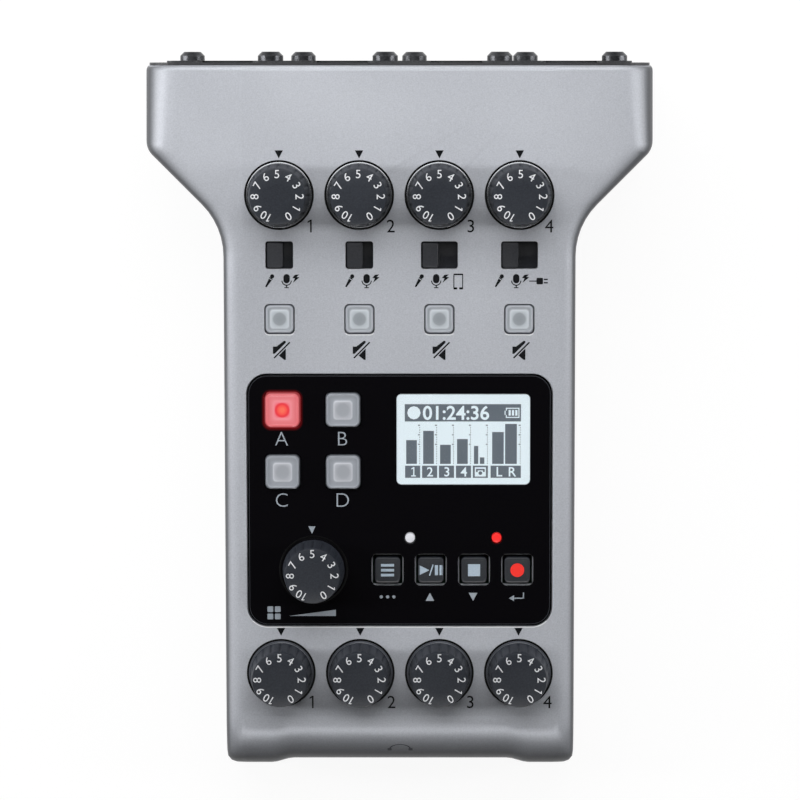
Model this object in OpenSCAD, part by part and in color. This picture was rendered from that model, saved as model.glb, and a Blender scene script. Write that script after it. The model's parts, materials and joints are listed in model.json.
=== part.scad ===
// Podcast recorder with four microphone sockets, a sloping control deck and a black key panel.
// The deck frame has x to the right, y up the slope to the sockets and z straight off the deck.
// The recorder stands on its feet at z = 0, and its origin is under the middle of its box.

/* [Case] */
// Slope of the control deck in degrees
deck_tilt = 6; // [5.5:0.25:6.5]
// Height of the deck plane at its middle
deck_z = 32.8; // [32.5:0.1:33.2]
// Width across the shoulders
shoulder_w = 112; // [111:0.5:114]
// Width of the narrow body
body_w = 77.8; // [77.4:0.1:78.6]
// Distance up the slope from the deck middle to the rear face
rear_u = 74.1; // [73.8:0.1:75]
// Distance down the slope from the deck middle to the front corners
front_u = 83.4; // [83:0.1:84]
// Thickness of the case walls
wall = 2.4; // [2.3:0.05:2.5]
// Depth of the shallow hollow along the front edge
scoop_d = 1.05; // [0.8:0.05:1.3]
// Height of the joint between the two case halves
part_z = 13; // [12.8:0.1:13.2]
// Half width of the flat middle of the deck
crease_x = 34.4; // [33.8:0.1:34.4]

/* [Knobs] */
// Distance between neighbouring columns of controls
column_pitch = 17.6; // [17.4:0.1:17.7]
// Place of the gain knobs up the slope
gain_u = 45.2; // [44.8:0.1:45.4]
// Place of the headphone knobs up the slope
phones_u = -61.1; // [-61.4:0.1:-60.8]
// Radius of a knob at its foot
knob_r = 6.85; // [6.6:0.05:7]
// Height of a knob's top above the deck
knob_h = 8.6; // [8.2:0.1:9]
// Radius of the knob shaft
shaft_r = 3; // [2.8:0.1:3.1]
// Number of grip grooves round a knob
flutes = 20; // [16:1:24]

/* [Keys] */
// Width of a mute button
mute_w = 6.2; // [6:0.1:6.8]
// Place of the mute buttons up the slope
mute_u = 17.9; // [17.6:0.1:18.2]
// Width of a sound pad
pad_w = 7.5; // [7.2:0.1:7.8]
// Width of a transport button
key_w = 5.7; // [5.4:0.1:6]
// Distance between neighbouring transport buttons
key_pitch = 9.6; // [9.5:0.05:9.7]
// How far a button goes down
key_travel = 0.5; // [0.4:0.05:0.6]
// Place of the input switches up the slope
switch_u = 32; // [31.8:0.1:32.4]
// Travel between two positions of an input switch
switch_step = 2; // [1.8:0.1:2.1]

/* [Panel] */
// Width of the black panel
panel_w = 67.4; // [67:0.1:67.6]
// Length of the black panel up the slope
panel_l = 56.2; // [55.9:0.1:56.4]
// Width of the display window
lcd_w = 29.4; // [29:0.1:29.8]
// Length of the display window up the slope
lcd_l = 20; // [19.6:0.1:20.4]

/* [Sockets] */
// Distance between neighbouring microphone sockets
socket_pitch = 25.3; // [25.2:0.05:25.5]
// Radius of the microphone socket's mouth
socket_r = 9.6; // [9.5:0.05:9.7]
// Radius of the headphone jack's bore
jack_r = 1.8; // [1.75:0.01:1.85]
// Distance between neighbouring headphone jacks
jack_pitch = 13.5; // [13.2:0.1:13.7]

/* [Battery] */
// Radius of a battery cell
cell_r = 7.15; // [7:0.05:7.2]
// Length of a battery cell's body
cell_l = 49.2; // [48.8:0.1:49.4]

/* [Hidden] */
$fn = 64;
eps = 0.01;
st = sin(deck_tilt);
ct = cos(deck_tilt);
tt = tan(deck_tilt);
hs = shoulder_w / 2;
hb = body_w / 2;
base_z = 1.5;
floor_t = 2.4;
floor_z = base_z + floor_t;
lip = 0.5;
// Depth below the deck at which a point u on the slope meets a level plane
function level(u, z) = (z - deck_z - u * st) / ct;
// Nose that rolls from the deck down to the front face
nose_r = -level(-front_u, part_z) - 0.6;
nose_l = 12.5;
corner_r = 3;
// Neck curve, taper and shoulder curve of the plan outline
taper = 45.3;
neck_r = 16;
should_r = 4.5;
taper_u = 38.25 + rear_u - 74.1;
neck_t = neck_r * tan(taper / 2);
should_u = taper_u + (hs - hb) / tan(taper);
should_t = should_r * tan(taper / 2);
rear_r = 1.3;
case_rear = rear_u - lip;
// Half width of the front end with its small corner curve
function front_half(d) = d >= corner_r ? hb : hb - corner_r + sqrt(corner_r * corner_r - pow(corner_r - d, 2));
// Edge rounding, wide at the shoulders and narrow along the body
function edge_r(u) = lookup(u, [[-90, 3.6], [34, 3.6], [44, 4.2], [should_u - 1.5, 5], [should_u + 5, 8.2], [90, 8.2]]);
// Stations along the case, each with its place, half width, cosine of the side and drop at the ends
function nose_run(g, n) = [for (i = [0:n]) let (b = 90 - 90 * i / n, u = nose_l - (nose_l - g) * sin(b) - front_u)
    [u, front_half(max(0, u + front_u)), 1, (nose_r - g) * (1 - cos(b)), sin(b)]];
function neck_run(n) = [for (i = [0:n]) let (a = taper * i / n)
    [taper_u - neck_t + neck_r * sin(a), hb + neck_r * (1 - cos(a)), cos(a), 0, 0]];
function should_run(n) = [for (i = [0:n]) let (a = taper * (1 - i / n))
    [should_u + should_t - should_r * sin(a), hs - should_r * (1 - cos(a)), cos(a), 0, 0]];
function rear_run(n) = [for (i = [0:n]) let (a = 90 * i / n)
    [case_rear - rear_r * (1 - sin(a)), hs - 0.8 * (1 - cos(a)), 1, rear_r * (1 - cos(a)), 0]];
function outer_stations() = concat(nose_run(0, 8), neck_run(6), should_run(5), rear_run(4));
function inner_stations() = concat(nose_run(wall, 4), neck_run(3), should_run(2), [[rear_u + 3, hs, 1, 0, 0]]);
// Hollow along the front edge, between its two lobes
scoop_in = hb - 14.9;
scoop_out = hb - 9.9;
scoop_xs = [for (k = [0:4]) scoop_in + k * (scoop_out - scoop_in) / 4];
function ease(t) = t <= 0 ? 0 : t >= 1 ? 1 : t * t * (3 - 2 * t);
function scoop(x) = scoop_d * (1 - ease((abs(x) - scoop_in) / (scoop_out - scoop_in)));
flank = 3.5;
drop_h = nose_r + 0.2;
// Right half of one cross section: flat middle, flank and rounded edge, inset by g
function half_chain(s, g, xs, n) = let (r = edge_r(s[0]), rx = r / s[2], x0 = s[1] - rx, x1 = min(crease_x, x0 - 0.3))
    concat([for (x = xs) [x, 0]], [[x1, 0]],
        [for (i = [0:n]) let (a = 90 * i / n, x = x0 + (rx - g / s[2]) * sin(a))
            [x, max(0, min(x, x0) - crease_x) * tan(flank) + (r - g) * (1 - cos(a))]]);
function full_chain(c) = concat([for (i = [len(c) - 1:-1:1]) [-c[i][0], c[i][1]]], c);
function fall(e1, e2, h) = h * (1 - (1 - e1 / h) * (1 - e2 / h));
// Solid between the deck surface inset by g and a level plane at height zl
module case_solid(stations, g, xs, n, zl, sc) {
    rows = [for (s = stations) let (c = full_chain(half_chain(s, g, xs, n)))
        [for (p = c) let (u = s[0] + sc * scoop(p[0]) * s[4])
            [p[0], u, -g - (s[3] > 0 && s[4] > 0 ? fall(s[3], p[1], drop_h - g) : s[3] + p[1])]]];
    m = len(rows[0]);
    k = len(rows);
    loops = [for (r = rows) concat(r, [for (j = [m - 1:-1:0]) [r[j][0], r[j][1], level(r[j][1], zl)]])];
    w = 2 * m;
    pts = [for (l = loops) each l];
    sides = [for (i = [0:k - 2]) for (j = [0:w - 1]) let (a = i * w + j, b = i * w + (j + 1) % w)
        each [[a, a + w, b], [b, a + w, b + w]]];
    ends = [for (e = [0, k - 1]) for (j = [0:m - 2])
        let (a = e * w + j, b = a + 1, c = e * w + w - 2 - j, d = e * w + w - 1 - j)
        each (e == 0 ? [[a, b, c], [a, c, d]] : [[a, c, b], [a, d, c]])];
    polyhedron(points = pts, faces = concat(sides, ends), convexity = 8);
}
// Plan outline of the lower half, inset by g, on the level joint plane
fw = front_half(0);
function plan_side(g) = concat(g > 0 ? [] : [for (s = nose_run(0, 8)) if (s[0] + front_u > 0.05) [s[1], s[0]]],
    [for (s = concat(neck_run(6), should_run(5))) [s[1] - g / s[2], s[0]]], [[hs - g, rear_u + 8]]);
function plan_front(g) = g > 0 ? [[-hb + g, -front_u + scoop_d + g], [hb - g, -front_u + scoop_d + g]]
    : [for (i = [0:24]) let (x = -fw + 2 * fw * i / 24) [x, -front_u + scoop(x)]];
function to_plan(p) = [p[0], p[1] / ct + tt * (deck_z - part_z) + deck_y];
function flip(l) = [for (i = [len(l) - 1:-1:0]) [-l[i][0], l[i][1]]];
function plan(g) = [for (p = concat(plan_front(g), plan_side(g), flip(plan_side(g)))) to_plan(p)];
// The deck frame sits so that the whole recorder is centred over the origin
pad_t = 0.4;
head_r = 2.8;
head_h = 2;
socket_n = -19.5;
screw_x = 9.5;
screw_n = 12;
socket_l = 20.9;
mouth_l = 14;
island_r = 7.9;
contact_r = 1.75;
contact_ring = 5.1;
front_y = -front_u * ct + nose_r * st;
back_y = (rear_u + pad_t + head_h) * ct + (screw_n + head_r - socket_n) * st;
deck_y = -(front_y + back_y) / 2;
// Places of the controls on the deck
columns = [for (i = [0:3]) (i - 1.5) * column_pitch];
panel_u = -22.4;
panel_d = 1.2;
panel_top = -0.15;
pocket = 0.2;
panel_r = 4.4;
pads = [[-25.9, -2.2], [-12.5, -2.2], [-25.9, -16], [-12.5, -16]];
pad_knob = [-19.1, -37.95];
key_u = -37.95;
keys = [for (i = [0:3]) -2.7 + i * key_pitch];
lamps = [[2.3, -30.8], [21.5, -30.8]];
lamp_r = 1.2;
lcd = [14.1, -8.8];
steps = [1, 1, 2, 2];
lever_w = 3.5;
lever_l = 5.5;
slot_r = 0.6;
slot_gap = 0.3;
function slot_w(i) = lever_w + steps[i] * switch_step + 2 * slot_gap;
function lever_x(i) = columns[i] - slot_w(i) / 2 + slot_gap + lever_w / 2;
knobs = concat([for (x = columns) [x, gain_u]], [for (x = columns) [x, phones_u]], [pad_knob]);
// Levels under the deck
under = -wall;
board_n = -9.6;
board_t = 1.6;
key_gap = 0.25;
flange_n = under - 0.3;
flange_t = 0.8;
stem_n = -6.3;
plunger_n = stem_n - key_travel - 0.15;
pot_n = -3;
pot_w = 9;
pot_l = 11;
board_edge = 0.2;
fit = 0.05;
hang = [[-column_pitch, 25], [column_pitch, 25], [-column_pitch, -51], [column_pitch, -51]];
// Lower half: ports, posts and battery bay in level coordinates
io_z = 4.6;
io_top = io_z + board_t;
jack_w = 6.4;
jack_h = 5.6;
jack_l = 14.5;
jack_deep = 13;
jack_z = io_top + jack_h / 2;
front_wall = to_plan([0, -front_u + scoop_d])[1];
front_in = to_plan([0, -front_u + scoop_d + wall])[1];
jacks = [for (i = [0:3]) (i - 1.5) * jack_pitch];
phone_y = -47;
usb_y = [-17, -31];
usb_z = io_top + 1.6;
card_y = -24;
card_z = io_top + 1.5;
power_y = -45;
power_z = io_top + 1.8;
power_travel = 3;
power_out = 0.6;
bay_x = cell_l / 2 + 3;
bay_y = 3.2;
cell_pitch = 2 * cell_r + 0.7;
bay_l = 2 * cell_pitch + 0.6;
bay_t = 1.3;
cell_z = floor_z + 0.4 + cell_r;
roof_z = cell_z + cell_r + 0.5;
door_y = bay_y - 0.6;
door_l = bay_l + 1.2;
door_x = bay_x + 0.7;
groove = 1.2;
run = 0.25;
post_r = 3.2;
boss_r = 2.3;
post_x = hb - wall - post_r + 0.3;
post_front = -58;
post_mid = -3.2;
post_rear = 46;
neck_x = hb - 1.9;
posts = [for (p = [[post_x, post_front], [post_x, post_mid], [neck_x, post_rear]], s = [-1, 1]) [s * p[0], p[1]]];
foot_x = hb - 7.7;
foot_y = front_in + 6.2;
rear_foot_x = hs - 10;
rear_foot_y = 65;
feet = [for (p = [[foot_x, foot_y], [rear_foot_x, rear_foot_y]], s = [-1, 1]) [s * p[0], p[1]]];
foot_r = 4.5;
io_x = hb - wall - 3;
io_end_x = post_x - post_r - 1;
io_screws = [for (y = [front_in + 7.2, post_mid - 1.2], s = [-1, 1]) [s * (io_end_x - 3), y]];

silver = [0.66, 0.68, 0.71];
black = [0.07, 0.07, 0.08];
dark = [0.17, 0.18, 0.2];
milk = [0.75, 0.76, 0.78];
green = [0.1, 0.32, 0.2];
steel = [0.62, 0.63, 0.65];

// Deck frame placed in the recorder's own frame
module on_deck() {
    translate([0, deck_y, deck_z]) rotate([deck_tilt, 0, 0]) children();
}

// Rounded rectangle, centred, of size w by l with corner radius r
module rounded(w, l, r) {
    square([w - 2 * r, l], center = true);
    square([w, l - 2 * r], center = true);
    for (x = [-1, 1], y = [-1, 1]) translate([x * (w / 2 - r), y * (l / 2 - r)]) circle(r);
}

// Rounded plate from n0 up to n1
module plate(w, l, r, n0, n1) {
    translate([0, 0, n0]) linear_extrude(n1 - n0) rounded(w, l, r);
}

// Box centred in x and y, from n0 up to n1
module block(w, l, n0, n1) {
    translate([-w / 2, -l / 2, n0]) cube([w, l, n1 - n0]);
}

// Upright round bar from n0 up to n1
module bar(r, n0, n1) {
    translate([0, 0, n0]) cylinder(r = r, h = n1 - n0);
}

// Frame of each microphone socket on the deck, with its mouth at the rear face and z straight out of it
module at_sockets() {
    for (i = [0:3]) translate([(i - 1.5) * socket_pitch, rear_u, socket_n]) rotate([-90, 0, 0]) children();
}

// Places of the three contacts in a socket
module at_contacts() {
    for (a = [90, 210, 330]) rotate([0, 0, a]) translate([contact_ring, 0, 0]) children();
}

// Cross section of the rear end, inset by g, down to the depth n0
function rear_section(g, n0) = let (c = full_chain(half_chain([rear_u, hs, 1], g, [0], 8)))
    concat([for (p = c) [p[0], -g - p[1]]], [[hs - g, n0], [-hs + g, n0]]);

// Silver upper half: sloping deck, shoulders and rolled nose, with bosses for the screws
module upper_case() {
    deck_over = function (p) deck_z + (p[1] - deck_y) * tt;
    color(silver) difference() {
        union() {
            difference() {
                on_deck() case_solid(outer_stations(), 0, concat([0], scoop_xs), 6, part_z, 1);
                on_deck() case_solid(inner_stations(), wall, [0], 3, part_z - 3, 0);
            }
            for (p = posts) translate([p[0], p[1], part_z])
                cylinder(r = boss_r, h = deck_over(p) - part_z - wall / 2);
            on_deck() for (p = hang) translate([p[0], p[1], 0]) bar(2.2, board_n, under + 0.6);
        }
        for (p = posts) translate([p[0], p[1], part_z - 1]) cylinder(r = 1.3, h = 9);
        on_deck() {
            for (p = hang) translate([p[0], p[1], 0]) bar(1, board_n - 1, board_n + 5);
            for (p = knobs) translate([p[0], p[1], 0]) bar(shaft_r + 0.8, under - 1, 1);
            for (i = [0:3]) translate([columns[i], switch_u, 0]) plate(slot_w(i), lever_l + 2 * slot_gap, slot_r, under - 1, 1);
            for (x = columns) translate([x, mute_u, 0]) plate(mute_w + 2 * key_gap, mute_w + 2 * key_gap, 1.1, under - 1, 1);
            translate([0, panel_u, 0]) plate(panel_w + 2 * pocket, panel_l + 2 * pocket, panel_r + pocket, -panel_d, 1);
            for (p = pads) translate([p[0], p[1], 0]) block(pad_w + 0.7, pad_w + 0.7, under - 1, 0);
            for (x = keys) translate([x, key_u, 0]) block(key_w + 0.9, key_w + 0.9, under - 1, 0);
            for (p = lamps) translate([p[0], p[1], 0]) bar(lamp_r + 0.3, under - 1, 0);
            translate([lcd[0], lcd[1], 0]) block(lcd_w - 2, lcd_l - 2, under - 1, 0);
        }
    }
}

// Black lower half: tray with port openings, screw posts, battery bay and door channel
module lower_case() {
    color(dark) difference() {
        union() {
            difference() {
                union() {
                    translate([0, 0, base_z + 1.2]) linear_extrude(part_z - base_z - 1.2) polygon(plan(0));
                    translate([0, 0, base_z]) linear_extrude(1.2 + eps) polygon(plan(0.8));
                }
                translate([0, 0, floor_z]) linear_extrude(part_z) polygon(plan(wall));
            }
            for (p = posts) translate([p[0], p[1], floor_z - 1]) cylinder(r = post_r, h = part_z - floor_z + 1);
            for (p = io_screws) translate([p[0], p[1], floor_z - 1]) cylinder(r = 2.6, h = io_z - floor_z + 1);
            translate([-bay_x - bay_t, bay_y - bay_t, floor_z - 1])
                cube([2 * bay_x + 2 * bay_t, bay_l + 2 * bay_t, roof_z + bay_t - floor_z + 1]);
        }
        translate([-bay_x, bay_y, base_z - 1]) cube([2 * bay_x, bay_l, roof_z - base_z + 1]);
        translate([-hb - 5, door_y, base_z - 1]) cube([hb + 5 + door_x, door_l, floor_t + 0.75]);
        translate([-hb - 5, door_y - groove, base_z + 0.7]) cube([hb + 5 + door_x, door_l + 2 * groove, 1]);
        for (p = posts) translate([p[0], p[1], 0]) {
            bar(2.9, base_z - 1, base_z + 3);
            bar(1.6, base_z, part_z + 1);
        }
        for (p = io_screws) translate([p[0], p[1], 0]) bar(1, floor_z - 1.2, io_z + 1);
        for (p = feet) translate([p[0], p[1], 0]) bar(foot_r + 0.1, base_z - 1, base_z + 0.4);
        for (x = jacks) translate([x, front_wall, jack_z]) cube([jack_w + 0.3, 4 * wall, jack_h + 0.3], center = true);
        translate([hb, phone_y, jack_z]) cube([4 * wall, jack_w + 0.3, jack_h + 0.3], center = true);
        for (y = usb_y) translate([-hb, y, usb_z]) cube([4 * wall, 9.4, 3.6], center = true);
        translate([hb, card_y, card_z]) cube([4 * wall, 25.6, 3], center = true);
        translate([-hb, power_y - power_travel / 2, power_z]) cube([4 * wall, power_travel + 4.8, 3.2], center = true);
        on_deck() translate([-80, case_rear, -90]) cube([160, 60, 120]);
    }
}

// Dark rear panel: a thin rim behind the case, a body set into it, and raised strips under the screws
module rear_panel() {
    spigot = 2.2;
    n0 = level(rear_u, base_z + 0.4);
    n1 = level(rear_u, floor_z + 0.6);
    mids = [for (i = [0:4]) (i - 2) * socket_pitch];
    color(black) on_deck() difference() {
        union() {
            translate([0, rear_u, 0]) rotate([90, 0, 0]) linear_extrude(lip) polygon(rear_section(0.7, n0));
            translate([0, case_rear + eps, 0]) rotate([90, 0, 0]) linear_extrude(spigot) polygon(rear_section(wall + 0.25, n1));
            for (i = [0:4]) translate([mids[i] + (i == 0 ? 3.2 : i == 4 ? -3.2 : 0), rear_u - eps, socket_n])
                rotate([-90, 0, 0]) linear_extrude(pad_t + eps) rounded(i % 4 == 0 ? 7.6 : 14, 31, 2);
        }
        at_sockets() {
            bar(socket_r + 1.8, -5, 5);
            for (k = [-1, 1]) translate([k * screw_x, -k * screw_n, 0]) bar(1.6, -5, 5);
        }
    }
}

// Glossy black panel with its key openings
module control_panel() {
    color(black) on_deck() difference() {
        translate([0, panel_u, 0]) union() {
            plate(panel_w, panel_l, panel_r, -panel_d, panel_top - 0.35);
            plate(panel_w - 0.7, panel_l - 0.7, panel_r - 0.35, panel_top - 0.35 - eps, panel_top);
        }
        for (p = pads) translate([p[0], p[1], 0]) plate(pad_w + 2 * key_gap, pad_w + 2 * key_gap, 1.3, -3, 1);
        for (x = keys) translate([x, key_u, 0]) plate(key_w + 1.4, key_w + 1.4, 1.2, -3, 1);
        for (p = lamps) translate([p[0], p[1], 0]) bar(lamp_r + 0.1, -3, 1);
        translate([pad_knob[0], pad_knob[1], 0]) bar(shaft_r + 0.8, -3, 1);
        translate([lcd[0], lcd[1], 0]) plate(lcd_w + 0.2, lcd_l + 0.2, 1.1, -3, 1);
    }
}

// Clear window over the display
module display_window() {
    color([0.8, 0.85, 0.9, 0.5]) on_deck() translate([lcd[0], lcd[1], 0]) plate(lcd_w, lcd_l, 1, -panel_d, panel_top - 0.05);
}

// Display with its back light and frame, standing on the board
module display_module() {
    color([0.8, 0.84, 0.88]) on_deck() translate([lcd[0], lcd[1], 0]) {
        block(lcd_w + 3, lcd_l + 3, under - 2.2, under - 0.1);
        block(lcd_w + 1.6, lcd_l + 1.6, board_n, under - 2.2 + eps);
    }
}

// Two light guides that show through the panel
module indicator_lights() {
    color([0.95, 0.6, 0.55]) on_deck() for (p = lamps) translate([p[0], p[1], 0]) {
        bar(lamp_r, board_n, panel_top - 0.05);
    }
}

// Long board under the deck that carries all the controls, cut clear of the sockets
module main_board() {
    board_x = 1.5 * column_pitch + pot_w / 2;
    front = phones_u - pot_l / 2 - board_edge;
    color(green) on_deck() difference() {
        translate([-board_x, front, board_n - board_t])
            cube([2 * board_x, gain_u + pot_l / 2 + board_edge - front, board_t]);
        for (p = hang) translate([p[0], p[1], 0]) bar(1.1, board_n - 2 * board_t, board_n + 1);
        at_sockets() bar(socket_r + 1.2, -socket_l - 0.3, 0);
    }
}

// Upright board behind the microphone sockets
module jack_board() {
    w = 3 * socket_pitch + 2 * socket_r;
    low = socket_n - socket_r - 1.4;
    high = board_n - board_t - 0.5;
    color(green) on_deck() translate([-w / 2, rear_u - socket_l - board_t, low]) cube([w, board_t, high - low]);
}

// Level board in the lower half for the ports, with narrow ends between the posts
module io_board() {
    front = post_front + post_r + 0.5;
    rear = post_mid - post_r - 0.3;
    color(green) difference() {
        union() {
            translate([-io_x, front, io_z]) cube([2 * io_x, rear - front, board_t]);
            translate([-io_end_x, front_in + 0.6, io_z])
                cube([2 * io_end_x, bay_y - bay_t - 4.4 - front_in, board_t]);
        }
        for (p = io_screws) translate([p[0], p[1], 0]) bar(1.1, 0, 20);
    }
}

// Bodies of the nine rotary controls
module pot_bodies() {
    color(dark) on_deck() for (p = knobs) translate([p[0], p[1], 0]) difference() {
        block(pot_w, pot_l, board_n, pot_n);
        bar(shaft_r + fit, pot_n - 3.2, pot_n + 1);
    }
}

// Bodies of the four input switches and of the power switch
module switch_bodies() {
    color(steel) {
        on_deck() for (i = [0:3]) translate([columns[i], switch_u, 0]) difference() {
            block(12.6, 6.6, board_n, -5);
            block(slot_w(i) + 0.3, 2.4, -7.2, -4);
        }
        difference() {
            translate([-hb + 3.6, power_y - power_travel / 2 - 5, io_top]) cube([4.4, 10, 3.8]);
            translate([-hb + 3, power_y - power_travel - 1.4, power_z - 1.1]) cube([3, power_travel + 2.8, 2.2]);
        }
    }
}

// Push switches under the twelve buttons
module tact_switches() {
    spots = concat([for (x = columns) [x, mute_u]], pads, [for (x = keys) [x, key_u]]);
    color(steel) on_deck() for (p = spots) translate([p[0], p[1], 0]) {
        block(6, 6, board_n, plunger_n - 0.6);
        bar(1.6, plunger_n - 0.6 - eps, plunger_n);
    }
}

// Microphone sockets: a shell with its flange behind the panel, a base plate, and an island with three contact holes
module input_sockets() {
    color(black) on_deck() at_sockets() {
        difference() {
            union() {
                bar(socket_r + 1.6, -6, pad_t);
                block(24.4, 29.6, -5.2, -lip - 2.3);
                bar(socket_r + 0.9, -socket_l, -5);
            }
            bar(socket_r, -socket_l - 1, 2);
            for (k = [-1, 1]) translate([k * screw_x, -k * screw_n, 0]) bar(1.45, -10, 2);
        }
        bar(socket_r - fit, -socket_l, -mouth_l);
        difference() {
            bar(island_r, -mouth_l + fit, -0.3);
            at_contacts() bar(contact_r + fit, -mouth_l - 1, 2);
        }
    }
}

// Brass sleeves in the contact holes
module socket_contacts() {
    color([0.8, 0.66, 0.35]) on_deck() at_sockets() at_contacts() difference() {
        bar(contact_r, -mouth_l + 1, -1);
        bar(contact_r - 0.5, -mouth_l + 2, 1);
    }
}

// Pan head screws with a cross recess, two to a socket on a diagonal
module socket_screws() {
    color(dark) on_deck() for (i = [0:3], k = [-1, 1])
        translate([(i - 1.5) * socket_pitch + k * screw_x, rear_u, socket_n + k * screw_n]) rotate([-90, 0, 0])
            difference() {
                union() {
                    bar(head_r, pad_t, pad_t + 1.1);
                    translate([0, 0, pad_t + 1.1 - eps]) cylinder(r1 = head_r, r2 = head_r - 0.9, h = head_h - 1.1);
                    bar(1.4, -5, pad_t + eps);
                }
                block(3, 0.6, pad_t + head_h - 0.9, 9);
                block(0.6, 3, pad_t + head_h - 0.9, 9);
            }
}

// Body of a small audio jack with its mouth at the origin, facing -y
module jack() {
    difference() {
        translate([-jack_w / 2, 0, -jack_h / 2]) cube([jack_w, jack_l, jack_h]);
        rotate([-90, 0, 0]) bar(jack_r, -1, jack_deep);
    }
}

// Four headphone jacks at the front and one telephone jack at the side
module audio_jacks() {
    color(black) {
        for (x = jacks) translate([x, front_wall, jack_z]) jack();
        translate([hb, phone_y, jack_z]) rotate([0, 0, 90]) jack();
    }
}

// Two small data and power sockets at the side
module usb_sockets() {
    color(steel) for (y = usb_y) translate([-hb + 0.2, y, usb_z]) rotate([90, 0, 90]) difference() {
        linear_extrude(7.4) rounded(9, 3.2, 1.55);
        difference() {
            translate([0, 0, -1]) linear_extrude(7.2) rounded(8.4, 2.6, 1.25);
            translate([-3.3, -0.35, 0.8]) cube([6.6, 0.7, 9]);
        }
    }
}

// Memory card socket, open at the side wall
module card_socket() {
    color(steel) translate([hb - 0.4 - wall, card_y, io_top]) difference() {
        translate([-21, -13.2, 0]) cube([21, 26.4, 3]);
        translate([-20, -12.2, 0.5]) cube([30, 24.4, 2.2]);
    }
}

// Two cells side by side, head to tail
module battery_cells() {
    color([0.35, 0.4, 0.45]) for (k = [0, 1])
        translate([0, bay_y + 0.3 + cell_pitch * (k + 0.5), cell_z]) rotate([0, k == 0 ? 90 : -90, 0]) {
            bar(cell_r, -cell_l / 2, cell_l / 2);
            bar(2.6, cell_l / 2 - eps, cell_l / 2 + 1);
        }
}

// Spring plates at the ends of the cells
module battery_contacts() {
    color(steel) for (s = [-1, 1], k = [0, 1])
        translate([s * (bay_x - 0.3), bay_y + 0.3 + cell_pitch * (k + 0.5), cell_z]) {
            cube([0.5, 10, 10], center = true);
            if ((s > 0) == (k > 0)) translate([-s * 1.3, 0, 0]) rotate([0, 90, 0]) cylinder(r1 = 3, r2 = 3, h = 2.2, center = true);
        }
}

// Case screws from below
module case_screws() {
    color(steel) for (p = posts) translate([p[0], p[1], 0]) {
        bar(2.5, base_z + 1.2, base_z + 3);
        bar(1.25, base_z + 3 - eps, part_z + 7);
    }
}

// Small screws that hold the two larger boards
module board_screws() {
    color(steel) {
        on_deck() for (p = hang) translate([p[0], p[1], 0]) {
            bar(2, board_n - board_t - 1.1, board_n - board_t);
            bar(0.95, board_n - board_t - eps, board_n + 4);
        }
        for (p = io_screws) translate([p[0], p[1], 0]) {
            bar(2, io_top, io_top + 1.1);
            bar(0.95, floor_z - 1, io_top + eps);
        }
    }
}

// Round rubber feet in shallow seats
module rubber_feet() {
    color(black) for (p = feet) translate([p[0], p[1], 0]) bar(foot_r, 0, base_z + 0.4);
}

// Knob cap: tapered side with grip grooves and a flat top, hollow round its hub
module knob(p) {
    foot = 0.5;
    top_r = knob_r - 0.7;
    lean = atan(0.7 / (knob_h - foot));
    hub_r = shaft_r + 1.2;
    groove_r = 0.8;
    color(dark) on_deck() translate([p[0], p[1], 0]) difference() {
        rotate_extrude() polygon([[shaft_r + 0.03, foot], [hub_r, foot], [hub_r, knob_h - 1.6], [top_r - 1.1, knob_h - 1.6],
            [knob_r - 1.2, foot], [knob_r, foot], [top_r + 0.05, knob_h - 0.4], [top_r - 0.35, knob_h], [0, knob_h],
            [0, knob_h - 1.8], [shaft_r + 0.03, knob_h - 1.8]]);
        for (i = [0:flutes - 1]) rotate([0, 0, 360 * (i + 0.5) / flutes]) translate([knob_r, 0, foot]) rotate([0, -lean, 0])
            translate([groove_r * 0.6, 0, 0]) bar(groove_r, 0.6, knob_h - foot - 1.1);
    }
}

// Shaft that turns with a knob
module shaft(p) {
    color(steel) on_deck() translate([p[0], p[1], 0]) bar(shaft_r, pot_n - 3.1, knob_h - 1.9);
}

// Switch lever with a dust plate under the deck and a foot in the switch body
module lever(i) {
    cover = lever_w + 2 * (steps[i] * switch_step + 0.9);
    color(black) on_deck() translate([lever_x(i), switch_u, 0]) {
        plate(lever_w, lever_l, slot_r - 0.1, under - 0.4, -0.2);
        block(cover, lever_l + 2, under - 1, under - 0.3);
        block(2, 1.8, -6.8, under - 1 + eps);
    }
}

// Button cap with a retaining flange under the deck and a stem over its push switch
module button(p, w, r, top, fl) {
    on_deck() translate([p[0], p[1], 0]) {
        plate(w, w, r, flange_n - eps, top - 0.3);
        plate(w - 0.5, w - 0.5, r - 0.2, top - 0.3 - eps, top);
        block(w + fl, w + fl, flange_n - flange_t, flange_n);
        block(3, 3, stem_n, flange_n - flange_t + eps);
    }
}

// Milky mute button
module mute(i) {
    color(milk) button([columns[i], mute_u], mute_w, 1, 0.5, 1.6);
}

// Milky sound pad
module sound_pad(i) {
    color(i == 0 ? [0.9, 0.3, 0.28] : milk) button(pads[i], pad_w, 1.1, 0.6, 1.6);
}

// Black transport button
module transport(i) {
    color(black) button([keys[i], key_u], key_w, 0.8, 0.25, 1.8);
}

// Power slider in the side wall
module power_slider() {
    color(black) {
        translate([-hb - power_out, power_y - 2, power_z - 1.2]) cube([power_out + 3.2, 4, 2.4]);
        translate([-hb + 3.2 - eps, power_y - 1, power_z - 0.7]) cube([2.2, 2, 1.4]);
    }
}

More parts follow.
